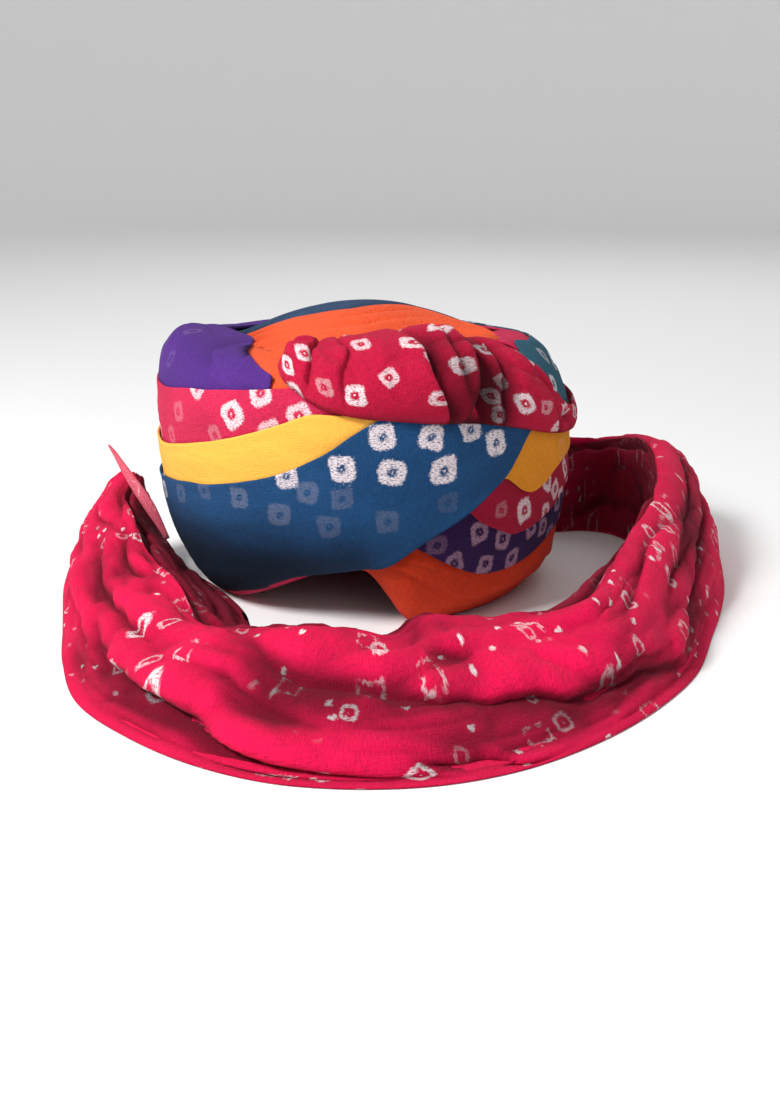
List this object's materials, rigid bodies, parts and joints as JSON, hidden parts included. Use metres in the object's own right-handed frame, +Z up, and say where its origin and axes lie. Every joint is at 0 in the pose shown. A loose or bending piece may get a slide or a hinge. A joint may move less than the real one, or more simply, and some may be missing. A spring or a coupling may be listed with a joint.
{
  "type": "tied turban pagri",
  "caption": "Ready-tied turban of thin tie-dyed muslin with crossing coloured bands, a twisted front roll and a long loose tail looped round it.",
  "frame": {"origin": "middle of the whole object's footprint, on the surface it lies on", "axes": "+Z up, -Y towards the turban's front with its raised notch, +X to the wearer's left"},
  "size_m": [0.4234, 0.4686, 0.1769],
  "materials": {
    "crimson_cloth": "matt thin muslin, dyed",
    "tail_cloth": "matt thin muslin, dyed",
    "yellow_cloth": "matt thin muslin, dyed",
    "blue_cloth": "matt thin muslin, dyed",
    "teal_cloth": "matt thin muslin, dyed",
    "purple_cloth": "matt thin muslin, dyed",
    "plum_cloth": "matt thin muslin, dyed",
    "orange_cloth": "matt thin muslin, dyed"
  },
  "bodies": {
    "root": {"head_ring": "crimson_cloth", "crimson_wrap": "crimson_cloth", "crimson_side_wrap": "crimson_cloth", "crimson_edge_wrap": "crimson_cloth", "front_twist": "crimson_cloth", "tail": "tail_cloth", "yellow_wrap": "yellow_cloth", "yellow_side_wrap": "yellow_cloth", "blue_wrap": "blue_cloth", "crown_slate": "blue_cloth", "teal_top_wrap": "teal_cloth", "purple_wrap": "purple_cloth", "plum_side_wrap": "plum_cloth", "orange_front_wrap": "orange_cloth", "orange_side_wrap": "orange_cloth", "crown_orange": "orange_cloth"}
  },
  "joints": []
}
